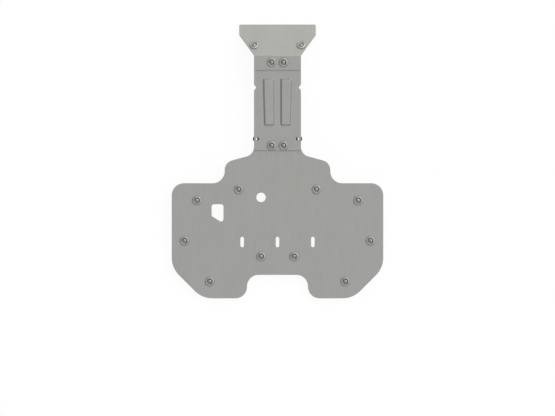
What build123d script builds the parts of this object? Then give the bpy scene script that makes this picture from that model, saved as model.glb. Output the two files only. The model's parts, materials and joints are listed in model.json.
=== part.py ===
from build123d import *

import os
from math import cos, hypot, radians, sin, sqrt, tan

# Belly skid plate of a quad bike: three lapped aluminium plates, a steel cross bracket
# behind their rear lap, and sixteen bolts that hold them together and to the frame.
#
# The plate lies on its back, ground side up. X runs across the vehicle and is positive on
# the rider's left, Y runs towards its front, and Z points to the ground. The origin is
# under the middle of the bounding box, level with the lowest edge of the front lip.

# Sheet
sheet = 4.0
edge_break = 0.8
corner_round = 2.0
spine_half_width = 93.75
# The share of an outline's straight side that the rounds at its two ends may take up
rounded_share = 0.995

# Main plate, rear edge to tongue, in the order of its outline
wing_half_width = 422.8
wing_length = 460.2
shoulder_half_width = 211.1
shoulder_side = 83.5
shoulder_rise = 31.7
neck_length = 54.8
rear_chamfer = 121.6
notch_half_width = 122.0
notch_depth = 93.8
neck_round = 40.0
shoulder_round = 40.0
wing_root_round = 48.0
wing_tip_round = 48.0
chamfer_round = 100.0
notch_round = 46.5

# Laps and the middle plate
rear_lap = 39.2
front_lap = 48.0
mid_length = 369.0
lap_bolt_half_spacing = 23.8
front_lap_bolt_setback = 31.4

# Ribs pressed into the middle plate
rib_length = 190.4
rib_setback = 98.6
rib_inner_x = 11.6
rib_front_width = 47.4
rib_rear_width = 42.1
rib_height = 5.5
rib_slope = 6.0
rib_corner = 9.0
rib_top_round = 2.5
rib_foot_round = 2.0

# Side notches and hook holes of the middle plate
side_notch_setback = 252.0
side_notch_depth = 9.2
side_notch_mouth = 23.0
side_notch_tip_round = 3.0
side_notch_mouth_round = 6.0
hook_hole_diameter = 12.8
hook_hole_inset = 13.8
hook_hole_setback = 46.8

# Front plate: a flat tab, a bend and a flared panel that runs up to the lip
tab_length = 57.9
panel_tilt = 32.0
panel_length = 149.7
bend_inner_radius = 6.0
lip_half_width = 153.3
lip_side = 49.2
lip_round = 6.0
flare_round = 24.0
panel_bolt_half_spacing = 94.4
panel_bolt_setback = 50.6

# Service openings of the main plate, from its centre line and the wings' front edge
drain_diameter = 37.6
drain_x = -65.8
drain_setback = 56.5
access_left_x = -263.4
access_width = 47.4
access_setback = 84.0
access_short_side = 47.1
access_long_side = 76.8
access_round = 10.0
slot_width = 14.0
slot_length = 42.0
slot_spacing = 141.3
slot_setback = 235.0

# Bolt pairs of the main plate, set in from the outline beside them
shoulder_bolt_inset = 55.5
shoulder_bolt_setback = 24.4
wing_front_bolt_inset = 100.5
wing_front_bolt_setback = 68.8
wing_side_bolt_inset = 51.2
wing_side_bolt_from_rear = 230.2
notch_bolt_inset = 55.9
notch_bolt_ahead = 74.0
rear_bolt_inset = 151.7
rear_bolt_from_rear = 67.4

# Button-head bolts
bolt_diameter = 8.0
bolt_length = 25.0
front_lap_bolt_length = 20.0
bolt_tip_chamfer = 1.0
bolt_neck_diameter = 7.2
bolt_neck_step = 0.4
head_diameter = 14.0
head_height = 4.4
head_rim = 2.2
head_flat_diameter = 6.2
head_dome_radius = 10.5
socket_across_flats = 5.0
socket_depth = 2.6
bolt_clearance = 0.5

# Pressed cup washers, which shield the bolt heads
cup_sheet = 2.0
cup_foot_diameter = 37.0
cup_crown_diameter = 34.4
cup_mouth_diameter = 24.8
cup_floor_diameter = 16.0
cup_height = 6.0
cup_crown_drop = 1.1
cup_mouth_round = 1.0
cup_crown_round = 1.5
cup_hole_clearance = 0.25

# Flange nuts
nut_across_flats = 13.0
nut_height = 8.0
nut_flange_diameter = 17.9
nut_flange_edge = 1.2
nut_flange_height = 2.8
nut_corner_break = 0.9
nut_corner_run = 1.8
nut_thread_gap = 0.05

# Cross bracket behind the rear lap
bracket_sheet = 4.0
bracket_strap = 25.0
bracket_knee_x = 40.0
bracket_eye_x = 85.9
bracket_eye_diameter = 11.0

# Places along Y, worked out from the chain of plates and centred on its length
main_length = wing_length + shoulder_side + shoulder_rise + neck_length
lip_reach = panel_length * cos(radians(panel_tilt)) - edge_break * sin(radians(panel_tilt))
overall_length = main_length - rear_lap + mid_length - front_lap + tab_length + lip_reach
rear_y = -overall_length / 2
notch_y = rear_y + notch_depth
wing_front_y = rear_y + wing_length
shoulder_y = wing_front_y + shoulder_side
neck_y = shoulder_y + shoulder_rise
tongue_front_y = neck_y + neck_length
mid_rear_y = tongue_front_y - rear_lap
mid_front_y = mid_rear_y + mid_length
tab_rear_y = mid_front_y - front_lap
bend_y = tab_rear_y + tab_length
rear_lap_bolt_y = mid_rear_y + rear_lap / 2
front_lap_bolt_y = tab_rear_y + front_lap_bolt_setback
hook_hole_y = mid_rear_y + hook_hole_setback

# Levels along Z: the lip's lowest edge is at zero, and each lap steps down one sheet
front_top = panel_length * sin(radians(panel_tilt)) + sheet * cos(radians(panel_tilt))
mid_top = front_top - sheet
main_top = mid_top - sheet
main_bottom = main_top - sheet
bracket_bottom = main_bottom - bracket_sheet

# Holes
bolt_hole = bolt_diameter + 2 * bolt_clearance

# The panel's ground face, with its own Y running from the bend to the lip
panel_plane = Plane(
    origin=(0, bend_y, front_top),
    x_dir=(1, 0, 0),
    z_dir=(0, sin(radians(panel_tilt)), cos(radians(panel_tilt))),
)

# Bolt pairs of the main plate: half spacing and place along Y
main_bolt_rows = {
    "shoulder": (shoulder_half_width - shoulder_bolt_inset, wing_front_y - shoulder_bolt_setback),
    "wing_front": (wing_half_width - wing_front_bolt_inset, wing_front_y - wing_front_bolt_setback),
    "wing_side": (wing_half_width - wing_side_bolt_inset, rear_y + wing_side_bolt_from_rear),
    "notch": (notch_half_width - notch_bolt_inset, notch_y + notch_bolt_ahead),
    "rear": (wing_half_width - rear_bolt_inset, rear_y + rear_bolt_from_rear),
}
rear_lap_row = (lap_bolt_half_spacing, rear_lap_bolt_y)
front_lap_row = (lap_bolt_half_spacing, front_lap_bolt_y)
panel_row = (panel_bolt_half_spacing, panel_bolt_setback)
sides = {"left": 1, "right": -1}


def fitted_radii(points, wanted):
    """Corner radii of an outline, drawn in where two of them would outgrow their side."""
    corners = [Vector(*point) for point in points]
    edges = [after - before for before, after in zip(corners, corners[1:])]
    reach = [tan(radians(a.get_angle(b)) / 2) for a, b in zip(edges, edges[1:])]
    radii = list(wanted)
    for index, edge in enumerate(edges):
        ends = [corner for corner in (index - 1, index) if 0 <= corner < len(radii)]
        taken = sum(radii[corner] * reach[corner] for corner in ends)
        room = rounded_share * edge.length
        if taken > room:
            for corner in ends:
                radii[corner] *= room / taken
    return radii


def mirrored_outline(points, wanted):
    """A face from half an outline, whose ends are on the centre line, and its mirror image."""
    with BuildSketch() as outline:
        with BuildLine():
            FilletPolyline(*points, radius=fitted_radii(points, wanted))
            mirror(about=Plane.YZ)
        make_face()
    return outline.sketch


def bolt_holes(row):
    """A pair of clearance holes, one each side of the centre line."""
    half_spacing, along = row
    with Locations((half_spacing, along), (-half_spacing, along)):
        Circle(bolt_hole / 2, mode=Mode.SUBTRACT)


def break_ground_edges(plate):
    """The deburred outline of a plate's ground face."""
    chamfer(plate.faces().sort_by(Axis.Z)[-1].outer_wire().edges(), edge_break)


def save(piece, name):
    """One named file per piece."""
    piece.part.label = name
    export_step(piece.part, f"parts/{name}.step")


os.makedirs("parts", exist_ok=True)

# Main plate: the broad wings, the shoulders and the tongue that carries the middle plate
main_outline = [
    (0, tongue_front_y),
    (spine_half_width, tongue_front_y),
    (spine_half_width, neck_y),
    (shoulder_half_width, shoulder_y),
    (shoulder_half_width, wing_front_y),
    (wing_half_width, wing_front_y),
    (wing_half_width, rear_y + rear_chamfer),
    (wing_half_width - rear_chamfer, rear_y),
    (notch_half_width, rear_y),
    (notch_half_width, notch_y),
    (0, notch_y),
]
main_rounds = [
    corner_round,
    neck_round,
    shoulder_round,
    wing_root_round,
    wing_tip_round,
    chamfer_round,
    chamfer_round,
    notch_round,
    notch_round,
]
main_face = mirrored_outline(main_outline, main_rounds)
access_top_y = wing_front_y - access_setback
access_outline = [
    (access_left_x, access_top_y),
    (access_left_x + access_width, access_top_y),
    (access_left_x + access_width, access_top_y - access_long_side),
    (access_left_x, access_top_y - access_short_side),
]

with BuildSketch() as access:
    with BuildLine():
        Polyline(*access_outline, close=True)
    make_face()
    fillet(access.vertices(), access_round)

with BuildPart() as main_plate:
    with BuildSketch(Plane.XY.offset(main_bottom)):
        add(main_face)
        with Locations((drain_x, wing_front_y - drain_setback)):
            Circle(drain_diameter / 2, mode=Mode.SUBTRACT)
        with Locations((0, wing_front_y - slot_setback)):
            with GridLocations(slot_spacing, 1, 3, 1):
                SlotOverall(slot_length, slot_width, rotation=90, mode=Mode.SUBTRACT)
        add(access.sketch, mode=Mode.SUBTRACT)
        for row in (*main_bolt_rows.values(), rear_lap_row):
            bolt_holes(row)
    extrude(amount=sheet)
    break_ground_edges(main_plate)
save(main_plate, "main_plate")

# Middle plate: a spine with two pressed ribs, side notches and hook holes
side_notch_y = mid_rear_y + side_notch_setback
mid_outline = [
    (0, mid_front_y),
    (spine_half_width, mid_front_y),
    (spine_half_width, side_notch_y + side_notch_mouth / 2),
    (spine_half_width - side_notch_depth, side_notch_y),
    (spine_half_width, side_notch_y - side_notch_mouth / 2),
    (spine_half_width, mid_rear_y),
    (0, mid_rear_y),
]
mid_rounds = [
    corner_round,
    side_notch_mouth_round,
    side_notch_tip_round,
    side_notch_mouth_round,
    corner_round,
]
mid_face = mirrored_outline(mid_outline, mid_rounds)
rib_rear_y = mid_rear_y + rib_setback
rib_foot = [
    (rib_inner_x, rib_rear_y + rib_length),
    (rib_inner_x + rib_front_width, rib_rear_y + rib_length),
    (rib_inner_x + rib_rear_width, rib_rear_y),
    (rib_inner_x, rib_rear_y),
]
# The pocket under a rib leaves the sheet its full thickness, square to the slope too
pocket_shift = sheet * hypot(rib_slope, rib_height) / rib_height
pocket_foot_inset = pocket_shift - sheet * rib_slope / rib_height


def rib_section(level, inset):
    """The outline of both ribs at one level, drawn in from their foot."""
    with BuildSketch(Plane.XY.offset(level)) as section:
        with BuildSketch(mode=Mode.PRIVATE) as rib:
            with BuildLine():
                Polyline(*rib_foot, close=True)
            make_face()
            fillet(rib.vertices(), rib_corner)
            offset(amount=-inset, mode=Mode.REPLACE)
        add(rib.sketch)
        mirror(about=Plane.YZ)
    return section.sketch


def rib_loft(bottom_section, top_section, side, mode):
    """One rib's sloping walls, between two of its sections."""
    bottom_face = bottom_section.faces().sort_by(Axis.X)[side]
    top_face = top_section.faces().sort_by(Axis.X)[side]
    loft([bottom_face, top_face], ruled=True, mode=mode)


rib_foot_section = rib_section(mid_top, 0)
rib_top_section = rib_section(mid_top + rib_height, rib_slope)
pocket_foot_section = rib_section(main_top, pocket_foot_inset)
pocket_top_section = rib_section(main_top + rib_height, pocket_foot_inset + rib_slope)

with BuildPart() as mid_plate:
    with BuildSketch(Plane.XY.offset(main_top)):
        add(mid_face)
        bolt_holes(rear_lap_row)
        bolt_holes(front_lap_row)
        hook_hole_x = spine_half_width - hook_hole_inset
        with Locations((hook_hole_x, hook_hole_y), (-hook_hole_x, hook_hole_y)):
            Circle(hook_hole_diameter / 2, mode=Mode.SUBTRACT)
    extrude(amount=sheet)
    break_ground_edges(mid_plate)
    for side in (0, -1):
        rib_loft(rib_foot_section, rib_top_section, side, Mode.ADD)
        rib_loft(pocket_foot_section, pocket_top_section, side, Mode.SUBTRACT)
    ground_edges = mid_plate.edges().filter_by_position(Axis.Z, mid_top, mid_top)
    rib_reach = rib_inner_x + max(rib_front_width, rib_rear_width)
    foot_edges = ground_edges.filter_by_position(Axis.X, -rib_reach, rib_reach)
    foot_edges = foot_edges.filter_by_position(Axis.Y, rib_rear_y, rib_rear_y + rib_length)
    fillet(foot_edges, rib_foot_round)
    fillet(mid_plate.faces().group_by(Axis.Z)[-1].edges(), rib_top_round)
save(mid_plate, "mid_plate")

# Front plate: the tab over the middle plate, the bend, and the panel up to the lip
bend_setback = (bend_inner_radius + sheet) * tan(radians(panel_tilt) / 2)
bend_start_y = bend_y - bend_setback
tab_outline = [
    (0, bend_start_y),
    (spine_half_width, bend_start_y),
    (spine_half_width, tab_rear_y),
    (0, tab_rear_y),
]
panel_outline = [
    (0, bend_setback),
    (spine_half_width, bend_setback),
    (lip_half_width, panel_length - lip_side),
    (lip_half_width, panel_length),
    (0, panel_length),
]


def curls_across(face):
    """Whether a round face's own axis runs across the vehicle, as the bend's does."""
    return face.axis_of_rotation.is_parallel(Axis.X)


tab_face = mirrored_outline(tab_outline, [0, corner_round])
panel_face = mirrored_outline(panel_outline, [0, flare_round, lip_round])

with BuildPart() as front_plate:
    with BuildSketch(Plane.XY.offset(mid_top)):
        add(tab_face)
        bolt_holes(front_lap_row)
    extrude(amount=sheet)
    with BuildSketch(Plane.XZ.offset(-bend_start_y)):
        with Locations((0, mid_top + sheet / 2)):
            Rectangle(2 * spine_half_width, sheet)
    revolve(
        axis=Axis((0, bend_start_y, mid_top - bend_inner_radius), (1, 0, 0)),
        revolution_arc=-panel_tilt,
    )
    with BuildSketch(panel_plane):
        add(panel_face)
        bolt_holes(panel_row)
    extrude(amount=-sheet)
    panel_axis = Axis(panel_plane.origin, panel_plane.z_dir)
    reach_axis = Axis(panel_plane.origin, panel_plane.y_dir)
    tab_top = front_plate.faces().filter_by(Plane.XY).sort_by(Axis.Z)[-1]
    panel_top = front_plate.faces().filter_by(panel_plane).sort_by(panel_axis)[-1]
    tab_rim = tab_top.outer_wire().edges().sort_by(Axis.Y)[:-1]
    panel_rim = panel_top.outer_wire().edges().sort_by(reach_axis)[1:]
    bend_faces = front_plate.faces().filter_by(GeomType.CYLINDER).filter_by(curls_across)
    bend_rim = bend_faces.sort_by(SortBy.AREA)[-1].edges().filter_by(GeomType.CIRCLE)
    chamfer(tab_rim + bend_rim + panel_rim, edge_break)
save(front_plate, "front_plate")

# Cross bracket: a strap under the lap whose arms lead forward to an eye on each side
with BuildPart() as cross_bracket:
    with BuildSketch(Plane.XY.offset(bracket_bottom)):
        SlotCenterPoint((0, rear_lap_bolt_y), (bracket_knee_x, rear_lap_bolt_y), bracket_strap)
        for side in sides.values():
            knee = Vector(side * bracket_knee_x, rear_lap_bolt_y)
            eye = Vector(side * bracket_eye_x, hook_hole_y)
            SlotCenterPoint((knee + eye) / 2, eye, bracket_strap)
            with Locations(eye):
                Circle(bracket_eye_diameter / 2, mode=Mode.SUBTRACT)
        bolt_holes(rear_lap_row)
    extrude(amount=bracket_sheet)
    chamfer(cross_bracket.faces().sort_by(Axis.Z)[0].outer_wire().edges(), edge_break)
save(cross_bracket, "cross_bracket")


def turning_plane(seat):
    """The plane through a seat's axis in which turned profiles are drawn, Y along the axis."""
    return Plane(origin=seat.origin, x_dir=seat.x_dir, z_dir=-seat.y_dir)


def seat_axis(seat):
    """The axis that stands on a seat."""
    return Axis(seat.origin, seat.z_dir)


def make_bolt(seat, length):
    """A button-head bolt: the head rests on the seat, the neck ends at the back of the first
    plate, and the full shank runs on from there."""
    head_radius = head_diameter / 2
    flat_radius = head_flat_diameter / 2
    bolt_neck_radius = bolt_neck_diameter / 2
    bolt_neck_length = cup_sheet + sheet
    shank_radius = bolt_diameter / 2
    with BuildPart() as bolt:
        with BuildSketch(turning_plane(seat)):
            with BuildLine():
                RadiusArc((flat_radius, head_height), (head_radius, head_rim), head_dome_radius)
                Polyline(
                    (head_radius, head_rim),
                    (head_radius, 0),
                    (bolt_neck_radius, 0),
                    (bolt_neck_radius, bolt_neck_step - bolt_neck_length),
                    (shank_radius, -bolt_neck_length),
                    (shank_radius, bolt_tip_chamfer - length),
                    (shank_radius - bolt_tip_chamfer, -length),
                    (0, -length),
                    (0, head_height),
                    (flat_radius, head_height),
                )
            make_face()
        revolve(axis=seat_axis(seat))
        with BuildSketch(seat.offset(head_height)):
            RegularPolygon(socket_across_flats / 2, 6, major_radius=False)
        extrude(amount=-socket_depth, mode=Mode.SUBTRACT)
    return bolt


def back_corner(before, corner, after):
    """The corner on the back of the cup's sheet, behind one on its face."""
    first = (corner - before).normalized().rotate(Axis.Z, -90)
    second = (after - corner).normalized().rotate(Axis.Z, -90)
    return corner + (first + second) * (cup_sheet / (1 + first.dot(second)))


def make_cup_washer(seat):
    """A cup pressed from sheet: floor on the plate, sloping crown and outer skirt."""
    hole_edge = Vector(bolt_diameter / 2 + cup_hole_clearance, cup_sheet)
    floor_edge = Vector(cup_floor_diameter / 2, cup_sheet)
    mouth = Vector(cup_mouth_diameter / 2, cup_height)
    crown_edge = Vector(cup_crown_diameter / 2, cup_height - cup_crown_drop)
    foot = Vector(cup_foot_diameter / 2, 0)
    skirt = foot - crown_edge
    with BuildPart() as washer:
        with BuildSketch(turning_plane(seat)) as profile:
            with BuildLine():
                Polyline(
                    (hole_edge.X, 0),
                    hole_edge,
                    floor_edge,
                    mouth,
                    crown_edge,
                    foot,
                    foot + Vector(cup_sheet * skirt.length / skirt.Y, 0),
                    back_corner(mouth, crown_edge, foot),
                    back_corner(floor_edge, mouth, crown_edge),
                    back_corner(hole_edge, floor_edge, mouth),
                    close=True,
                )
            make_face()
            fillet(profile.vertices().sort_by(Axis.Y)[-1], cup_mouth_round)
            fillet(profile.vertices().sort_by(Axis.X)[-2], cup_crown_round)
        revolve(axis=seat_axis(seat))
    return washer


def make_flange_nut(seat):
    """A hexagon nut whose flange rests on the seat."""
    corner_radius = nut_across_flats / sqrt(3)
    flat_radius = nut_across_flats / 2
    flange_radius = nut_flange_diameter / 2
    with BuildPart() as nut:
        with BuildSketch(seat):
            RegularPolygon(flat_radius, 6, major_radius=False)
        extrude(amount=nut_height)
        with BuildSketch(turning_plane(seat)):
            with BuildLine():
                Polyline(
                    (0, 0),
                    (flange_radius, 0),
                    (flange_radius, nut_height - nut_corner_break),
                    (corner_radius, nut_height - nut_corner_break),
                    (corner_radius - nut_corner_run, nut_height),
                    (0, nut_height),
                    close=True,
                )
            make_face()
        revolve(axis=seat_axis(seat), mode=Mode.INTERSECT)
        with BuildSketch(turning_plane(seat)):
            with BuildLine():
                Polyline(
                    (0, 0),
                    (flange_radius, 0),
                    (flange_radius, nut_flange_edge),
                    (flat_radius, nut_flange_height),
                    (0, nut_flange_height),
                    close=True,
                )
            make_face()
        revolve(axis=seat_axis(seat))
        with BuildSketch(seat):
            Circle(bolt_diameter / 2 + nut_thread_gap)
        extrude(amount=nut_height, mode=Mode.SUBTRACT)
    return nut


def seat_on(face, across, along):
    """The seat at one place on a face, standing as the face does."""
    middle = face.from_local_coords((across, along, 0))
    return Plane(origin=middle, x_dir=face.x_dir, z_dir=face.z_dir)


# Every bolt pair: the face under its washers, its row on that face and its bolts' length
main_face_up = Plane.XY.offset(main_top)
fastener_rows = {
    **{name: (main_face_up, row, bolt_length) for name, row in main_bolt_rows.items()},
    "rear_lap": (Plane.XY.offset(mid_top), rear_lap_row, bolt_length),
    "front_lap": (Plane.XY.offset(front_top), front_lap_row, front_lap_bolt_length),
    "panel": (panel_plane, panel_row, bolt_length),
}
for name, (face, (half_spacing, along), length) in fastener_rows.items():
    for side, sign in sides.items():
        seat = seat_on(face, sign * half_spacing, along)
        save(make_cup_washer(seat), f"cup_washer_{name}_{side}")
        save(make_bolt(seat.offset(cup_sheet), length), f"bolt_{name}_{side}")

# Flange nuts on the bolts of the two laps
nut_rows = {
    "rear_lap": (bracket_bottom, rear_lap_row),
    "front_lap": (main_top, front_lap_row),
}
for name, (level, (half_spacing, along)) in nut_rows.items():
    for side, sign in sides.items():
        seat = Plane(origin=(sign * half_spacing, along, level), z_dir=(0, 0, -1))
        save(make_flange_nut(seat), f"flange_nut_{name}_{side}")
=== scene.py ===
import json
from math import cos, pi, radians, sin, sqrt

import bpy
from mathutils import Matrix, Vector


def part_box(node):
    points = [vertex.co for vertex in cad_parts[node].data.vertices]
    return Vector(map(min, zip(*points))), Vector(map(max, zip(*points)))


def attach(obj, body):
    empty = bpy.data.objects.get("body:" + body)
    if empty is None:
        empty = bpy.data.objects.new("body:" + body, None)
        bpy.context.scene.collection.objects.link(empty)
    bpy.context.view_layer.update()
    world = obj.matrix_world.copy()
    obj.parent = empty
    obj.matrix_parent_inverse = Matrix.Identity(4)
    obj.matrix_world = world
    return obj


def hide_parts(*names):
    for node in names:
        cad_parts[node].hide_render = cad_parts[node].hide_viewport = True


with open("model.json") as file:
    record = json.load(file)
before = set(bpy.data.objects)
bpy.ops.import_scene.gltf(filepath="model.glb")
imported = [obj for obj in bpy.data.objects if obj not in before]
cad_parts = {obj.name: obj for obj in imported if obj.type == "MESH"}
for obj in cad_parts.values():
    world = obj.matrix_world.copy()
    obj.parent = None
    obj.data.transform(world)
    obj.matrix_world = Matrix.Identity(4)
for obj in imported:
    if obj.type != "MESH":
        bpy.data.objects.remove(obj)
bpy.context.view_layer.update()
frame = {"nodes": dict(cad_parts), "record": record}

# Camera: square to the ground side, through a very long lens
VIEW_WIDTH = 2.22
VIEW_CENTRE = (0.0, -0.1870, 0.06)
SENSOR = 36.0
LENS = 500.0
CLIP_START = 1.0
CLIP_END = 200.0

# Bolts, in metres
HEAD_RADIUS = 0.007
HEAD_HEIGHT = 0.0044
HEAD_RIM = 0.0022
DOME_RADIUS = 0.0105
SOCKET_SIDES = 6
SOCKET_FLATS = 0.005
SOCKET_DEPTH = 0.0026
THREAD_RADIUS = 0.004
THREAD_PITCH = 0.00125
THREAD_DEPTH = 0.00068
CREST_FLAT = THREAD_PITCH / 8
NECK_RADIUS = 0.0036
NECK_LENGTH = 0.006
NECK_STEP = 0.0004
TIP_CHAMFER = 0.001
SHANK_LENGTH = {"front_lap": 0.020}
USUAL_SHANK = 0.025

# Meshes of the bolts: the thread starts a little too fat and a few turns too long
ROUND_STEPS = 48
THREAD_STEPS = 32
DOME_STEPS = 8
SMOOTH_ANGLE = radians(35)
POINT_SIZE = 0.001
CREST_SPARE = 0.0002
TURNS_BELOW_TIP = 3
SPARE_TURNS = 5
SPIN_SEAM = 0.000002
SCREW_SEAM = 0.000005
THREAD_SEAM = 0.000003

ROWS = ("shoulder", "wing_front", "wing_side", "notch", "rear", "rear_lap", "front_lap", "panel")
NUT_ROWS = ("rear_lap", "front_lap")
SIDES = ("left", "right")

# Patterns: the range of most of a noise, and how open a place is where the painted shade is darkest and
# where it stops
NOISE_LOW = 0.3
NOISE_HIGH = 0.7
FULL_SHADE_OPENNESS = 0.35
NO_SHADE_OPENNESS = 0.85
PAINTED_SHADE_SAMPLES = 12

# Floor
FLOOR_SIZE = 60.0
FLOOR_CELLS = 8
FLOOR_GAP = 0.0005
FLOOR_WHITE = (0.96, 0.96, 0.96)
SHADOW_SHARE = 0.08

# Lamps: a height above the plate and a turn from the front towards the left side, both in
# degrees, a power and a colour
LAMP_SPREAD = radians(40)
LAMP_DISTANCE = 6
NEUTRAL = (1.0, 1.0, 1.0)
WARM = (0.99, 1.0, 0.925)
LAMPS = {
    "top_light": (90, 0, 0.26, NEUTRAL),
    "side_light": (45, 90, 0.45, NEUTRAL),
    "front_light": (35, 0, 0.47, WARM),
    "corner_light": (35, 45, 1.04, WARM),
    "rear_light": (35, 180, 0.26, NEUTRAL),
}
SKY_STRENGTH = 0.5


def deselect():
    """Leave nothing selected, so that an operator meets only the new piece."""
    bpy.ops.object.select_all(action="DESELECT")


def newest(name):
    """The piece that an operator has just added, under its own name."""
    piece = bpy.context.active_object
    piece.name = name
    piece.data.name = name
    return piece


def choose(piece):
    """Make one piece the only one selected and active."""
    deselect()
    piece.select_set(True)
    bpy.context.view_layer.objects.active = piece


def drawn_line(name, start, steps):
    """A line of points, drawn from its start by steps, in edit mode."""
    deselect()
    bpy.ops.mesh.primitive_plane_add(size=POINT_SIZE, location=(0, 0, 0))
    line = newest(name)
    bpy.ops.object.mode_set(mode="EDIT")
    bpy.ops.mesh.select_all(action="SELECT")
    bpy.ops.mesh.merge(type="CENTER")
    bpy.ops.transform.translate(value=start)
    for step in steps:
        bpy.ops.mesh.extrude_region_move(TRANSFORM_OT_translate={"value": step})
    return line


def turned(name, profile):
    """A closed round piece: a line of points in the XZ plane, from axis to axis, spun round Z."""
    steps = [Vector(after) - Vector(before) for before, after in zip(profile, profile[1:])]
    piece = drawn_line(name, profile[0], steps)
    bpy.ops.mesh.select_all(action="SELECT")
    bpy.ops.mesh.spin(steps=ROUND_STEPS, angle=2 * pi, center=(0, 0, 0), axis=(0, 0, 1))
    bpy.ops.mesh.select_all(action="SELECT")
    bpy.ops.mesh.remove_doubles(threshold=SPIN_SEAM)
    bpy.ops.mesh.normals_make_consistent(inside=False)
    bpy.ops.object.mode_set(mode="OBJECT")
    return piece


def cut(piece, other, operation):
    """Join, cut or keep the common part of two closed pieces."""
    choose(piece)
    modifier = piece.modifiers.new("cut", "BOOLEAN")
    modifier.operation = operation
    modifier.solver = "EXACT"
    modifier.object = other
    bpy.ops.object.modifier_apply(modifier=modifier.name)
    bpy.data.objects.remove(other)


def raw_thread(length):
    """A closed threaded rod along Z, a little longer and fatter than it has to be."""
    crest = THREAD_RADIUS + CREST_SPARE
    root = THREAD_RADIUS - THREAD_DEPTH
    slope = (THREAD_PITCH - 2 * CREST_FLAT) / 2
    one_turn = [
        (0, 0, CREST_FLAT),
        (crest - root, 0, slope),
        (0, 0, CREST_FLAT),
        (root - crest, 0, slope),
    ]
    rod = drawn_line("threaded_rod", (root, 0, -length - TURNS_BELOW_TIP * THREAD_PITCH), one_turn)
    bpy.ops.object.mode_set(mode="OBJECT")
    screw = rod.modifiers.new("thread", "SCREW")
    screw.axis = "Z"
    screw.angle = 2 * pi
    screw.steps = THREAD_STEPS
    screw.render_steps = THREAD_STEPS
    screw.screw_offset = THREAD_PITCH
    screw.iterations = int((length + SPARE_TURNS * THREAD_PITCH) / THREAD_PITCH) + 1
    screw.use_merge_vertices = True
    screw.merge_threshold = SCREW_SEAM
    choose(rod)
    bpy.ops.object.modifier_apply(modifier=screw.name)
    bpy.ops.object.mode_set(mode="EDIT")
    bpy.ops.mesh.select_all(action="SELECT")
    bpy.ops.mesh.remove_doubles(threshold=THREAD_SEAM)
    for height, below in ((-length - THREAD_PITCH, True), (THREAD_PITCH, False)):
        bpy.ops.mesh.select_all(action="SELECT")
        bpy.ops.mesh.bisect(
            plane_co=(0, 0, height),
            plane_no=(0, 0, 1),
            use_fill=True,
            clear_inner=below,
            clear_outer=not below,
        )
    bpy.ops.mesh.select_all(action="SELECT")
    bpy.ops.mesh.normals_make_consistent(inside=False)
    bpy.ops.object.mode_set(mode="OBJECT")
    return rod


def threaded_shank(length):
    """The threaded part of a bolt, from the end of its neck to its chamfered tip."""
    shank = raw_thread(length)
    limits = turned(
        "shank_limits",
        [
            (0, 0, NECK_STEP - NECK_LENGTH),
            (NECK_RADIUS, 0, NECK_STEP - NECK_LENGTH),
            (THREAD_RADIUS, 0, -NECK_LENGTH),
            (THREAD_RADIUS, 0, TIP_CHAMFER - length),
            (THREAD_RADIUS - TIP_CHAMFER, 0, -length),
            (0, 0, -length),
        ],
    )
    cut(shank, limits, "INTERSECT")
    return shank


def dome_points():
    """The dome of a button head, from its flat top out to its rim."""
    rim_height = sqrt(DOME_RADIUS**2 - HEAD_RADIUS**2)
    flat_radius = sqrt(DOME_RADIUS**2 - (HEAD_HEIGHT - HEAD_RIM + rim_height) ** 2)
    points = []
    for step in range(DOME_STEPS + 1):
        radius = flat_radius + (HEAD_RADIUS - flat_radius) * sin(step / DOME_STEPS * pi / 2)
        points.append((radius, 0, HEAD_RIM + sqrt(DOME_RADIUS**2 - radius**2) - rim_height))
    return points


def model_bolt(name, length):
    """A button-head bolt with its seat at the origin, its head up Z and its thread below."""
    shank = threaded_shank(length)
    bolt = turned(
        name,
        [
            (0, 0, HEAD_HEIGHT),
            *dome_points(),
            (HEAD_RADIUS, 0, 0),
            (NECK_RADIUS, 0, 0),
            (NECK_RADIUS, 0, NECK_STEP - NECK_LENGTH),
            (0, 0, NECK_STEP - NECK_LENGTH),
        ],
    )
    deselect()
    bpy.ops.mesh.primitive_cylinder_add(
        vertices=SOCKET_SIDES,
        radius=SOCKET_FLATS / 2 / cos(pi / SOCKET_SIDES),
        depth=2 * SOCKET_DEPTH,
        location=(0, 0, HEAD_HEIGHT),
    )
    cut(bolt, newest("socket"), "DIFFERENCE")
    cut(bolt, shank, "UNION")
    choose(bolt)
    bpy.ops.object.shade_smooth_by_angle(angle=SMOOTH_ANGLE)
    return bolt


def placed(piece, name, place):
    """A copy of a piece with its own mesh, put in place in that mesh."""
    copy = piece.copy()
    copy.data = piece.data.copy()
    copy.name = name
    copy.data.name = name
    copy.data.transform(place)
    bpy.context.collection.objects.link(copy)
    return copy


def bolt_place(row, side):
    """Where a bolt stands: on its cup washer's floor, square to the face it goes through."""
    if row == "panel":
        mount = next(m for m in frame["record"]["mounts"] if m["name"] == f"panel_stud_{side}")
        outward = -Vector(mount["axis"])
        seat = Vector(mount["pos_m"]) + outward * NECK_LENGTH
        turn = Vector((0, 0, 1)).rotation_difference(outward).to_matrix().to_4x4()
        return Matrix.Translation(seat) @ turn
    low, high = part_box(f"bolt_{row}_{side}")
    middle = (low + high) / 2
    return Matrix.Translation((middle.x, middle.y, high.z - HEAD_HEIGHT))


def new_material(name, color, metallic, roughness):
    """A material with a Principled shader, and its nodes and shader."""
    material = bpy.data.materials.new(name)
    material.use_nodes = True
    tree = material.node_tree
    shader = tree.nodes["Principled BSDF"]
    shader.inputs["Base Color"].default_value = (*color, 1)
    shader.inputs["Metallic"].default_value = metallic
    shader.inputs["Roughness"].default_value = roughness
    return material, tree, shader


def node(tree, kind, **values):
    """A new node with its settings and unlinked inputs."""
    made = tree.nodes.new(kind)
    for key, value in values.items():
        if hasattr(made, key):
            setattr(made, key, value)
        else:
            made.inputs[key.replace("_", " ")].default_value = value
    return made


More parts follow.
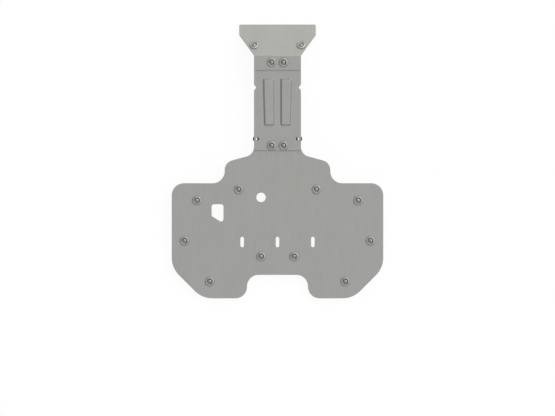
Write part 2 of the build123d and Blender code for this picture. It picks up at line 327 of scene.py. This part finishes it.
def stretched_noise(tree, scale, detail):
    """Noise on Object coordinates, stretched by a scale along each axis."""
    place = node(tree, "ShaderNodeTexCoord")
    mapping = node(tree, "ShaderNodeMapping", Scale=scale)
    noise = node(tree, "ShaderNodeTexNoise", Scale=1.0, Detail=detail, Roughness=0.5)
    tree.links.new(place.outputs["Object"], mapping.inputs["Vector"])
    tree.links.new(mapping.outputs["Vector"], noise.inputs["Vector"])
    return noise.outputs["Fac"]


def ranged(tree, value, start, end, low, high):
    """A value that runs from start to end, made to run from low to high."""
    made = node(tree, "ShaderNodeMapRange", From_Min=start, From_Max=end, To_Min=low, To_Max=high)
    tree.links.new(value, made.inputs["Value"])
    return made.outputs["Result"]


def spread(tree, noise, low, high):
    """A noise spread over a range."""
    return ranged(tree, noise, NOISE_LOW, NOISE_HIGH, low, high)


def maths(tree, operation, first, second):
    """One sum of two sockets."""
    made = node(tree, "ShaderNodeMath", operation=operation)
    tree.links.new(first, made.inputs[0])
    tree.links.new(second, made.inputs[1])
    return made.outputs["Value"]


def tinted(tree, color, factor):
    """A colour made lighter or darker by a factor that a pattern gives."""
    scale = node(tree, "ShaderNodeVectorMath", operation="SCALE")
    scale.inputs[0].default_value = color
    tree.links.new(factor, scale.inputs["Scale"])
    return scale.outputs["Vector"]


def painted_shade(tree, reach, darkest):
    """Painted shade: a factor from ambient occlusion that darkens the colour in corners, laps and cups,
    where shade falls.
    """
    shelter = node(tree, "ShaderNodeAmbientOcclusion", samples=PAINTED_SHADE_SAMPLES, Distance=reach)
    return ranged(tree, shelter.outputs["AO"], FULL_SHADE_OPENNESS, NO_SHADE_OPENNESS, darkest, 1.0)


def raise_grain(tree, shader, pattern, strength, height):
    """Turn a pattern into fine relief on a surface."""
    bump = node(tree, "ShaderNodeBump", Strength=strength, Distance=height)
    tree.links.new(pattern, bump.inputs["Height"])
    tree.links.new(bump.outputs["Normal"], shader.inputs["Normal"])


def sheet_aluminium():
    """Milled aluminium sheet: fine grain along Y, a faint cloudiness, a satin surface and painted shade
    in its laps and corners.
    """
    color = (0.376, 0.376, 0.367)
    material, tree, shader = new_material("milled_aluminium", color, metallic=1.0, roughness=0.5)
    grain = stretched_noise(tree, scale=(900, 22, 22), detail=4.0)
    streak = stretched_noise(tree, scale=(120, 5, 5), detail=3.0)
    cloud = stretched_noise(tree, scale=(14, 9, 14), detail=3.0)
    lines = maths(tree, "MULTIPLY", spread(tree, grain, 0.93, 1.07), spread(tree, streak, 0.988, 1.012))
    tone = maths(tree, "MULTIPLY", lines, spread(tree, cloud, 0.985, 1.015))
    # Painted shade: the colour darkens where ambient occlusion finds laps, rib feet and the feet of
    # washers
    tone = maths(tree, "MULTIPLY", tone, painted_shade(tree, reach=0.005, darkest=0.7))
    tree.links.new(tinted(tree, color, tone), shader.inputs["Base Color"])
    tree.links.new(spread(tree, grain, 0.46, 0.56), shader.inputs["Roughness"])
    raise_grain(tree, shader, grain, strength=0.25, height=0.00004)
    return material


def satin_steel(name, color, roughness, darkest):
    """Plated or stainless steel: a fine speckle, a satin surface and painted shade in its cups and
    corners down to a factor.
    """
    material, tree, shader = new_material(name, color, metallic=1.0, roughness=roughness)
    speckle = stretched_noise(tree, scale=(1400, 1400, 1400), detail=3.0)
    cloud = stretched_noise(tree, scale=(160, 160, 160), detail=2.0)
    tone = maths(tree, "MULTIPLY", spread(tree, speckle, 0.94, 1.06), spread(tree, cloud, 0.95, 1.05))
    # Painted shade: the colour darkens inside the cups, under the heads and where the washers meet the
    # plate
    tone = maths(tree, "MULTIPLY", tone, painted_shade(tree, reach=0.006, darkest=darkest))
    tree.links.new(tinted(tree, color, tone), shader.inputs["Base Color"])
    tree.links.new(spread(tree, speckle, roughness - 0.05, roughness + 0.05), shader.inputs["Roughness"])
    return material


def powder_black():
    """Black powder coat: a fine orange peel on a dull black."""
    color = (0.01, 0.01, 0.0105)
    material, tree, shader = new_material("powder_black", color, metallic=0.0, roughness=0.5)
    shader.inputs["Specular IOR Level"].default_value = 0.15
    peel = stretched_noise(tree, scale=(700, 700, 700), detail=2.0)
    tree.links.new(tinted(tree, color, spread(tree, peel, 0.85, 1.15)), shader.inputs["Base Color"])
    tree.links.new(spread(tree, peel, 0.42, 0.58), shader.inputs["Roughness"])
    raise_grain(tree, shader, peel, strength=0.35, height=0.00008)
    return material


def white_floor():
    """A pale matte floor that the camera, metal and glass see as white with a faint shadow."""
    material = bpy.data.materials.new("studio_floor")
    material.use_nodes = True
    tree = material.node_tree
    tree.nodes.clear()
    output = node(tree, "ShaderNodeOutputMaterial")
    matte = node(tree, "ShaderNodeBsdfDiffuse", Color=(*FLOOR_WHITE, 1))
    white = node(tree, "ShaderNodeEmission", Color=(1, 1, 1, 1), Strength=1.0)
    seen = node(tree, "ShaderNodeMixShader", Fac=SHADOW_SHARE)
    rays = node(tree, "ShaderNodeLightPath")
    either = maths(tree, "MAXIMUM", rays.outputs["Is Camera Ray"], rays.outputs["Is Glossy Ray"])
    either = maths(tree, "MAXIMUM", either, rays.outputs["Is Transmission Ray"])
    chosen = node(tree, "ShaderNodeMixShader")
    tree.links.new(white.outputs["Emission"], seen.inputs[1])
    tree.links.new(matte.outputs["BSDF"], seen.inputs[2])
    tree.links.new(either, chosen.inputs["Fac"])
    tree.links.new(matte.outputs["BSDF"], chosen.inputs[1])
    tree.links.new(seen.outputs["Shader"], chosen.inputs[2])
    tree.links.new(chosen.outputs["Shader"], output.inputs["Surface"])
    return material


def finish(piece, material):
    """Give a piece one material all over."""
    piece.data.materials.clear()
    piece.data.materials.append(material)


def studio_lamp(name, height, turn, power, color):
    """A wide soft lamp far away."""
    data = bpy.data.lights.new(name, "SUN")
    data.angle = LAMP_SPREAD
    data.energy = power
    data.color = color
    lamp = bpy.data.objects.new(name, data)
    bpy.context.collection.objects.link(lamp)
    height = radians(height)
    turn = radians(turn)
    direction = Vector((sin(turn) * cos(height), cos(turn) * cos(height), sin(height)))
    lamp.location = LAMP_DISTANCE * direction
    lamp.rotation_mode = "QUATERNION"
    lamp.rotation_quaternion = direction.to_track_quat("Z", "Y")


# Finishes
aluminium = sheet_aluminium()
washer_zinc = satin_steel("washer_zinc", (0.4, 0.4, 0.39), roughness=0.42, darkest=0.55)
bolt_steel = satin_steel("bolt_steel", (0.37, 0.37, 0.36), roughness=0.4, darkest=0.4)
# Painted light: the washers and bolts on the tilted panel are lighter copies with less or no painted
# shade, so that they look more brightly lit
lit_panel_washer = satin_steel("lit_panel_washer_zinc", (0.41, 0.41, 0.4), roughness=0.42, darkest=1.0)
lit_panel_bolt = satin_steel("lit_panel_bolt_steel", (0.4, 0.4, 0.39), roughness=0.4, darkest=0.85)
nut_zinc = satin_steel("nut_zinc", (0.42, 0.42, 0.40), roughness=0.36, darkest=0.6)
black_coat = powder_black()

nodes = frame["nodes"]
for name in ("main_plate", "mid_plate", "front_plate"):
    finish(nodes[name], aluminium)
finish(nodes["cross_bracket"], black_coat)
for side in SIDES:
    for row in ROWS:
        # The panel's washers take the lighter copy without painted shade: painted light
        finish(nodes[f"cup_washer_{row}_{side}"], lit_panel_washer if row == "panel" else washer_zinc)
    for row in NUT_ROWS:
        finish(nodes[f"flange_nut_{row}_{side}"], nut_zinc)

# Bolts: one of each length is modelled, and every other one is its copy
patterns = {}
for length in (USUAL_SHANK, *SHANK_LENGTH.values()):
    patterns[length] = model_bolt(f"bolt_pattern_{round(length * 1000)}", length)
for row in ROWS:
    for side in SIDES:
        pattern = patterns[SHANK_LENGTH.get(row, USUAL_SHANK)]
        bolt = placed(pattern, f"threaded_bolt_{row}_{side}", bolt_place(row, side))
        # The panel's bolts take the lighter copy with weaker painted shade: painted light
        finish(bolt, lit_panel_bolt if row == "panel" else bolt_steel)
        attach(bolt, "root")
        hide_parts(f"bolt_{row}_{side}")
for pattern in patterns.values():
    bpy.data.objects.remove(pattern)

# Floor: it touches the lip and the tips of the two rear bolts, so it slopes a little
lip_low, lip_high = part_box("front_plate")
stud_low, stud_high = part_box("bolt_rear_left")
stud_y = (stud_low.y + stud_high.y) / 2
slope = (stud_low.z - lip_low.z) / (stud_y - lip_high.y)
deselect()
bpy.ops.mesh.primitive_grid_add(x_subdivisions=FLOOR_CELLS, y_subdivisions=FLOOR_CELLS, size=FLOOR_SIZE)
floor = newest("floor")
for vertex in floor.data.vertices:
    vertex.co.z = lip_low.z + slope * (vertex.co.y - lip_high.y) - FLOOR_GAP
finish(floor, white_floor())

# World, lamps and camera
world = bpy.data.worlds.new("studio")
bpy.context.scene.world = world
world.use_nodes = True
sky = world.node_tree.nodes["Background"]
sky.inputs["Color"].default_value = (1.0, 1.0, 1.0, 1)
sky.inputs["Strength"].default_value = SKY_STRENGTH
for name, lamp in LAMPS.items():
    studio_lamp(name, *lamp)

camera_data = bpy.data.cameras.new("camera")
camera_data.sensor_width = SENSOR
camera_data.lens = LENS
camera_data.clip_start = CLIP_START
camera_data.clip_end = CLIP_END
camera = bpy.data.objects.new("camera", camera_data)
bpy.context.collection.objects.link(camera)
camera.location = Vector(VIEW_CENTRE) + Vector((0, 0, VIEW_WIDTH * LENS / SENSOR))

bpy.context.scene.camera = camera
bpy.context.scene.view_settings.view_transform = "Standard"
